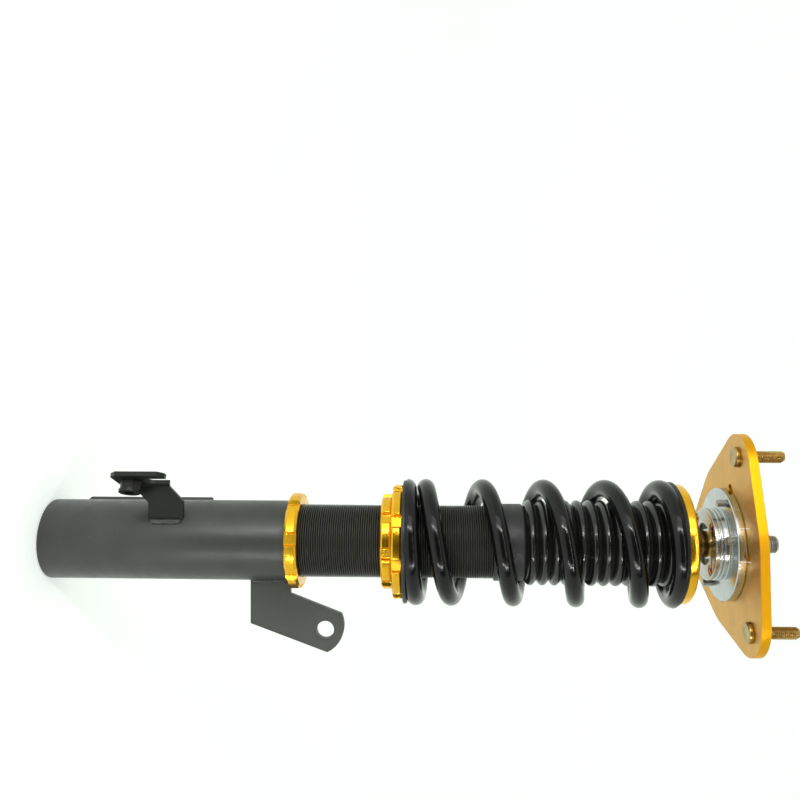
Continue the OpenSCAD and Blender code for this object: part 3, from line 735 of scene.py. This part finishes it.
def build_rod():
    low, high, _ = span("piston_rod")
    seat = span("upper_spring_seat")[0]
    stem = threaded("rod_stem_thread", 6 * MM, 0.75 * MM, 1.5 * MM, seat + 20 * MM, high, 48,
                    tip=1.1 * MM)
    shank = spun("rod_shank", [(0, seat - 0.02 * MM), (6 * MM, seat - 0.02 * MM),
                               (6 * MM, seat + 20 * MM), (0, seat + 20 * MM)], 64)
    foot = span("rebound_stop")[0]
    bar = spun("ground_rod", [(0, low), (5 * MM, low), (5 * MM, foot), (9.6 * MM, foot),
                              (10 * MM, foot + 0.4 * MM), (10 * MM, seat - 0.4 * MM),
                              (9.6 * MM, seat), (0, seat)], 96)
    fit_out(stem, "dark_steel", "rod_assembly", "chromed_rod", "piston_rod")
    fit_out(shank, "steel", "rod_assembly", "chromed_rod")
    fit_out(bar, "chrome", "rod_assembly", "chromed_rod")
    nut = dressed("stem_nut", "rod_nut", rounding=0.4 * MM)
    fit_out(nut, "steel", "rod_assembly", "zinc_steel", "rod_nut")
    low, high, outer = span("lower_ball_spacer")
    waist = spun("waisted_spacer", [
        (STEM_BORE, low), (outer, low), (outer, low + 1.8 * MM),
        (outer - 0.9 * MM, low + 2.6 * MM),
        (outer - 1.5 * MM, low + 3.4 * MM), (outer - 0.9 * MM, low + 4.2 * MM),
        (outer, low + 5.2 * MM), (outer, high - 8 * MM), (outer - 0.5 * MM, high - 7.2 * MM),
        (outer - 1.8 * MM, high - 6.0 * MM), (9.2 * MM, high - 4.4 * MM), (9.2 * MM, high),
        (STEM_BORE, high)], 96, 0.2 * MM)
    fit_out(waist, "zinc", "rod_assembly", "bronze_zinc", "lower_ball_spacer")
    collar = dressed("upper_spacer_bush", "upper_ball_spacer", rounding=0.3 * MM)
    fit_out(collar, "zinc", "rod_assembly", "bronze_zinc", "upper_ball_spacer")
    ball = dressed("swivel_ball", "bearing_ball", rounding=0.3 * MM)
    fit_out(ball, "chrome", "rod_assembly", "zinc_steel", "bearing_ball")


def build_housing():
    low, top, flange_r = span("bearing_housing")
    plate_low = span("camber_plate")[0]
    flange_low = plate_low - FLANGE_T
    seat = plate_low - FLANGE_GAP
    r = span("bearing_retainer")[2]
    bore = span("bearing_race")[2] + 0.03 * MM
    clip_low, clip_high, clip_r = span("bearing_circlip")
    body = spun("bearing_cup", [
        (bore, low), (r - 0.5 * MM, low), (r - 0.5 * MM, low + 0.5 * MM), (r, low + 0.9 * MM),
        (r, low + 2.1 * MM), (r - 0.45 * MM, low + 2.4 * MM), (r - 0.45 * MM, low + 2.9 * MM),
        (r, low + 3.2 * MM), (r, flange_low - 0.5 * MM), (r + 0.5 * MM, flange_low),
        (flange_r - 0.6 * MM, flange_low), (flange_r, flange_low + 0.6 * MM),
        (flange_r, seat - 0.4 * MM), (flange_r - 0.4 * MM, seat), (20 * MM, seat),
        (20 * MM, top - 0.6 * MM), (19.4 * MM, top), (bore, top), (bore, clip_high + 0.05 * MM),
        (clip_r + 0.1 * MM, clip_high + 0.05 * MM), (clip_r + 0.1 * MM, clip_low - 0.05 * MM),
        (bore, clip_low - 0.05 * MM)], 160, 0.12 * MM)
    fit_out(body, "silver", "housing", "machined_aluminium", "bearing_housing")
    cap = dressed("bearing_cap_ring", "bearing_retainer", rounding=0.35 * MM, segments=3)
    fit_out(cap, "silver", "housing", "machined_aluminium", "bearing_retainer")
    screws = dressed("cap_screws", "retainer_screws", rounding=0.25 * MM)
    fit_out(screws, "copper", "housing", "bronze_zinc", "retainer_screws")
    race = dressed("spherical_race", "bearing_race", rounding=0.25 * MM)
    fit_out(race, "steel", "housing", "zinc_steel", "bearing_race")
    clip = dressed("race_circlip", "bearing_circlip", rounding=0.2 * MM)
    fit_out(clip, "dark_steel", "housing", "zinc_steel", "bearing_circlip")


def turned_spot(x, y, angle):
    return x * math.cos(angle) - y * math.sin(angle), x * math.sin(angle) + y * math.cos(angle)


def screw_places():
    """Centres of the four clamp screws, in the direction of the camber slots."""
    across, along = 30 * MM, 14 * MM
    return [turned_spot(u * along, v * across, sizes().camber_turn)
            for u in (-1, 1) for v in (-1, 1)]


def build_clamp_screws():
    low = span("camber_screws")[0]
    plate_top = span("camber_plate")[1]
    shanks = []
    for i, (x, y) in enumerate(screw_places()):
        shank = threaded(f"clamp_shank_{i}", 2.5 * MM, 0.45 * MM, 0.8 * MM, low,
                         plate_top + 1.5 * MM, 28)
        place(shank, x, y)
        shanks.append(shank)
    thread = joined("clamp_screw_threads", shanks)
    smooth(thread, 25)
    fit_out(thread, "dark_steel", "housing", "zinc_steel")
    caps = dressed("clamp_screw_heads", "camber_screws", rounding=0.3 * MM)

    def keep_heads():
        bpy.ops.mesh.select_all(action="SELECT")
        bpy.ops.mesh.bisect(plane_co=(0, 0, plate_top + 0.4 * MM), plane_no=(0, 0, 1),
                            use_fill=True, clear_inner=True, clear_outer=False)

    edit(caps, keep_heads)
    smooth(caps)
    fit_out(caps, "steel", "housing", "zinc_steel", "camber_screws")
    washers = dressed("clamp_washers", "camber_washers", rounding=0.15 * MM)
    fit_out(washers, "steel", "housing", "zinc_steel", "camber_washers")


def build_top_plate():
    plate = dressed("slotted_camber_plate", "camber_plate", rounding=0.5 * MM, segments=3)
    fit_out(plate, "plate", "top_plate", "gold_anodised", "camber_plate")
    low, high = span("camber_plate")[:2]
    stud_low, stud_high = span("mounting_studs")[:2]
    head_r = 6.75 * MM
    studs = []
    for degrees in (-30, 90, 210):
        x, y = turned_spot(sizes().stud_circle, 0, sizes().plate_turn + math.radians(degrees))
        screw = threaded(f"stud_thread_{degrees}", 4 * MM, 0.7 * MM, 1.25 * MM, high + 2.5 * MM,
                         stud_high, 40, tip=1.6 * MM)
        head = spun(f"stud_head_{degrees}", [
            (0, stud_low + 0.35 * MM), (3.6 * MM, stud_low + 0.25 * MM),
            (head_r - 0.8 * MM, stud_low),
            (head_r, stud_low + 0.6 * MM), (head_r, low - 0.3 * MM), (head_r - 0.3 * MM, low),
            (4 * MM, low), (4 * MM, high), (4.4 * MM, high), (4.4 * MM, high + 1.9 * MM),
            (3.9 * MM, high + 2.5 * MM), (0, high + 2.6 * MM)], 64, 0.12 * MM)
        for part in (screw, head):
            place(part, x, y)
            studs.append(part)
    pressed = joined("pressed_studs", studs)
    smooth(pressed, 28)
    fit_out(pressed, "zinc", "top_plate", "bronze_zinc", "mounting_studs")


def highlight_bar(name, low, high):
    """A filled index line: a thin bar between two corners, its edges softened."""
    middle = (Vector(low) + Vector(high)) / 2
    bpy.ops.object.select_all(action="DESELECT")
    bpy.ops.mesh.primitive_cube_add(size=1, location=middle, scale=Vector(high) - Vector(low))
    bpy.ops.object.transform_apply(location=True, rotation=True, scale=True)
    piece = bpy.context.object
    piece.name = piece.data.name = name
    round_edges(piece, 0.03 * MM, 1)
    return piece


# Painted highlights: white bars laid where the lamp strips' reflections fall on the cup, the
# flange rim and the plate.
def build_painted_highlights():
    plate_low = span("camber_plate")[0]
    flange_r = span("bearing_housing")[2]
    cup_r = span("bearing_retainer")[2]
    cup_low = span("bearing_housing")[0]
    half = 0.3 * MM
    skin = LINE_PROUD
    outer_x, inner_x, turned = 10.4 * MM, 6.9 * MM, math.radians(9)
    on_plate, on_cup = [], []
    for side in (-1, 1):
        x = side * outer_x
        rim = -math.sqrt(flange_r ** 2 - x ** 2)
        on_plate.append(highlight_bar(f"plate_line_{side}",
                                 (x - half, rim - 6.5 * MM, plate_low - skin),
                                 (x + half, rim - 0.6 * MM, plate_low + skin)))
        on_cup.append(highlight_bar(f"rim_line_{side}", (x - half, rim - skin, plate_low - 5.1 * MM),
                               (x + half, rim + 0.3 * MM, plate_low - 0.4 * MM)))
        x = side * inner_x
        face = -math.sqrt(cup_r ** 2 - x ** 2)
        on_cup.append(highlight_bar(f"cup_line_{side}", (x - half, face - skin, cup_low + 3.3 * MM),
                               (x + half, face + 0.3 * MM, plate_low - 6.1 * MM)))
    for line in on_plate + on_cup:
        only(line)
        bpy.ops.transform.rotate(value=turned, orient_axis="Z", center_override=(0, 0, 0))
        bpy.ops.object.transform_apply(location=True, rotation=True, scale=True)
    lines = joined("plate_index_lines", on_plate)
    fit_out(lines, "mark", "top_plate", "gold_anodised")
    lines = joined("housing_index_lines", on_cup)
    fit_out(lines, "mark", "housing", "machined_aluminium")


INNER_FINISHES = {
    "pressure_tube": "steel", "gas_valve": "zinc", "floating_piston": "silver",
    "rod_guide": "silver", "rod_seal": "rubber", "gland_cap": "steel", "damping_piston": "steel",
    "piston_band": "plastic", "valve_shims": "steel", "piston_nut": "steel",
    "rebound_stop": "rubber", "bump_stop": "foam", "bump_stop_cup": "plastic",
    "bearing_liner": "liner", "bearing_backing": "steel",
}


def finish_inner_nodes():
    for node, finish in INNER_FINISHES.items():
        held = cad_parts[node]
        held.data.materials.clear()
        held.data.materials.append(FINISHES[finish])


# ---- stage ----

def stage_material(name, rgb, rough, glow=0.0):
    made, tree, shader, place_on = new_finish(name, Roughness=rough, Emission_Strength=glow)
    shader.inputs["Emission Color"].default_value = (*rgb, 1)
    tint(tree, shader, grain(tree, place_on, 400), shade_of(rgb, 0.985), rgb)
    return made


def build_stage():
    """One pale sheet: a floor that curves up into a far backdrop, in an evenly white room."""
    scene = bpy.context.scene
    scene.view_settings.view_transform = "Standard"
    wide, front, deep, tall, bend = 9.0, -5.0, 2.2, 5.0, 0.8
    bpy.ops.object.select_all(action="DESELECT")
    bpy.ops.mesh.primitive_grid_add(x_subdivisions=2, y_subdivisions=60, size=2)
    sweep = bpy.context.object
    sweep.name = "studio_sheet"
    for vertex in sweep.data.vertices:
        run = (vertex.co.y + 1) / 2
        angle = min(1.0, max(0.0, (run - 0.2) / 0.4)) * math.pi / 2
        flat = min(1.0, run / 0.2)
        y = front + (deep - bend - front) * flat + bend * math.sin(angle)
        z = bend - bend * math.cos(angle) + max(0.0, run - 0.6) * (tall - bend) / 0.4
        vertex.co = (vertex.co.x * wide / 2, y, z - 0.0002)
    smooth(sweep, 60)
    sheet = stage_material("matt_white_sheet", tuple(colours().floor), 0.8, 0.22)
    sweep.data.materials.append(sheet)
    world = bpy.data.worlds.new("white_room")
    scene.world = world
    world.use_nodes = True
    ground = world.node_tree.nodes["Background"]
    ground.inputs["Color"].default_value = (*linear("#F8FFF9"), 1)
    ground.inputs["Strength"].default_value = 0.9


def area(name, location, aim, power, width, height):
    light = bpy.data.lights.new(name, "AREA")
    light.shape = "RECTANGLE"
    light.size, light.size_y, light.energy = width, height, power
    holder = bpy.data.objects.new(name, light)
    bpy.context.scene.collection.objects.link(holder)
    holder.location = location
    holder.rotation_euler = (Vector(aim) - Vector(location)).to_track_quat("-Z", "Y").to_euler()
    return holder


CAMERA_AT = Vector((-0.098, -0.549, 0.2727))


def build_lights():
    """Four thin lamp strips round the lens, and a dark flag that keeps the blacks deep."""
    half_x, half_z, thin = 0.40, 0.42, 0.006
    full, mirrored = 2.8, 0.8    # watts; the plate's rim mirrors one strip, so that one is dimmer
    centre = Vector((0.0, -0.60, CAMERA_AT.z))
    for side in (-1, 1):
        for name, spot, power, wide, high in (
                (f"lamp_strip_x{side}", centre + Vector((side * half_x, 0, 0)), full,
                 thin, 2 * half_z),
                (f"lamp_strip_z{side}", centre + Vector((0, 0, side * half_z)),
                 mirrored if side > 0 else full, 2 * half_x, thin)):
            strip = area(name, spot, spot + Vector((0, 1, 0)), power, wide, high)
            strip.rotation_euler = (math.pi / 2, 0, 0)
    bpy.ops.object.select_all(action="DESELECT")
    bpy.ops.mesh.primitive_plane_add(size=1, location=(0, -1.0, 0.95),
                                     rotation=(math.pi / 2, 0, 0))
    flag = bpy.context.object
    flag.name = "dark_flag"
    flag.scale = (2.6, 1.88, 1)
    flag.data.materials.append(stage_material("grey_felt", linear("#3C3E3B"), 0.95))
    flag.visible_camera = False
    area("soft_key", (-0.75, -0.8, 0.5), (0, 0, 0.25), 3.5, 0.5, 0.9)
    area("soft_low", (0.55, -0.85, 0.25), (0, 0, 0.25), 0.9, 0.25, 1.2)


def build_camera():
    """The lens looks along +Y with the strut lying across the picture, top mount to the right."""
    data = bpy.data.cameras.new("camera")
    data.sensor_width = 36.0
    data.lens = 35.6
    data.clip_start, data.clip_end = 0.01, 50
    holder = bpy.data.objects.new("camera", data)
    bpy.context.scene.collection.objects.link(holder)
    forward = Vector((0, 0.9987, -0.0506)).normalized()
    up = Vector((-1, 0, 0))
    right = forward.cross(up)
    turn = Matrix((right, up, -forward)).transposed().to_4x4()
    holder.matrix_world = Matrix.Translation(CAMERA_AT) @ turn
    bpy.context.scene.camera = holder


def operator(name, label, text, *work):
    """One operator class that runs the given build functions in order."""
    def execute(self, context):
        for step in work:
            step()
        return {"FINISHED"}
    kind = type(f"STRUT_OT_{name}", (bpy.types.Operator,),
                {"bl_idname": f"strut.{name}", "bl_label": label, "__doc__": text,
                 "bl_options": {"REGISTER", "UNDO"}, "execute": execute})
    return kind


OPERATORS = [
    operator("finishes", "Finishes", "Makes the materials", make_finishes),
    operator("knuckle_side", "Lower tube and brackets",
             "Builds the lower tube, rib, tab and bracket", build_knuckle_side, build_welds),
    operator("collars", "Gold collars", "Builds the lock collar, jam ring and perch",
             build_collars),
    operator("body", "Threaded body", "Cuts the fine thread on the damper body", build_body),
    operator("boot", "Boot and cuff", "Builds the pleated boot and its cuff", build_boot),
    operator("spring", "Coil spring", "Winds the spring and grinds its ends", build_spring),
    operator("seats", "Spring seats", "Builds the rubber rings and the gold seat",
             build_spring_seats),
    operator("rod", "Rod and ball", "Builds the rod, its spacers, ball and nut", build_rod),
    operator("housing", "Bearing housing", "Turns the housing and its cap", build_housing),
    operator("clamp_screws", "Clamp screws", "Builds the four camber screws", build_clamp_screws),
    operator("top_plate", "Camber plate", "Builds the plate and its studs", build_top_plate),
    # lays the white lines of painted highlight
    operator("index_marks", "Index lines", "Lays the white index lines", build_painted_highlights),
    operator("inner_nodes", "Inner parts", "Gives the hidden parts their finish",
             finish_inner_nodes),
    operator("stage", "Stage", "Sets the floor, lights and camera", build_stage, build_lights,
             build_camera),
]


class STRUT_PT_panel(bpy.types.Panel):
    """Lists the strut's sizes, colours and build steps."""
    bl_label = "Coilover strut"
    bl_space_type = "VIEW_3D"
    bl_region_type = "UI"
    bl_category = "Strut"

    def draw(self, context):
        for group in (context.scene.strut_sizes, context.scene.strut_colours):
            box = self.layout.box()
            for name in group.__annotations__:
                box.prop(group, name)
        for kind in OPERATORS:
            self.layout.operator(kind.bl_idname)


CLASSES = [StrutColours, StrutSizes, *OPERATORS, STRUT_PT_panel]


def register():
    for kind in CLASSES:
        bpy.utils.register_class(kind)
    bpy.types.Scene.strut_sizes = PointerProperty(type=StrutSizes)
    bpy.types.Scene.strut_colours = PointerProperty(type=StrutColours)


def unregister():
    del bpy.types.Scene.strut_sizes
    del bpy.types.Scene.strut_colours
    for kind in reversed(CLASSES):
        bpy.utils.unregister_class(kind)


def main():
    for name in ("Cube", "Light", "Camera"):
        if name in bpy.data.objects:
            bpy.data.objects.remove(bpy.data.objects[name])
    register()
    for kind in OPERATORS:
        getattr(bpy.ops.strut, kind.bl_idname.split(".")[1])()


if __name__ == "__main__":
    main()
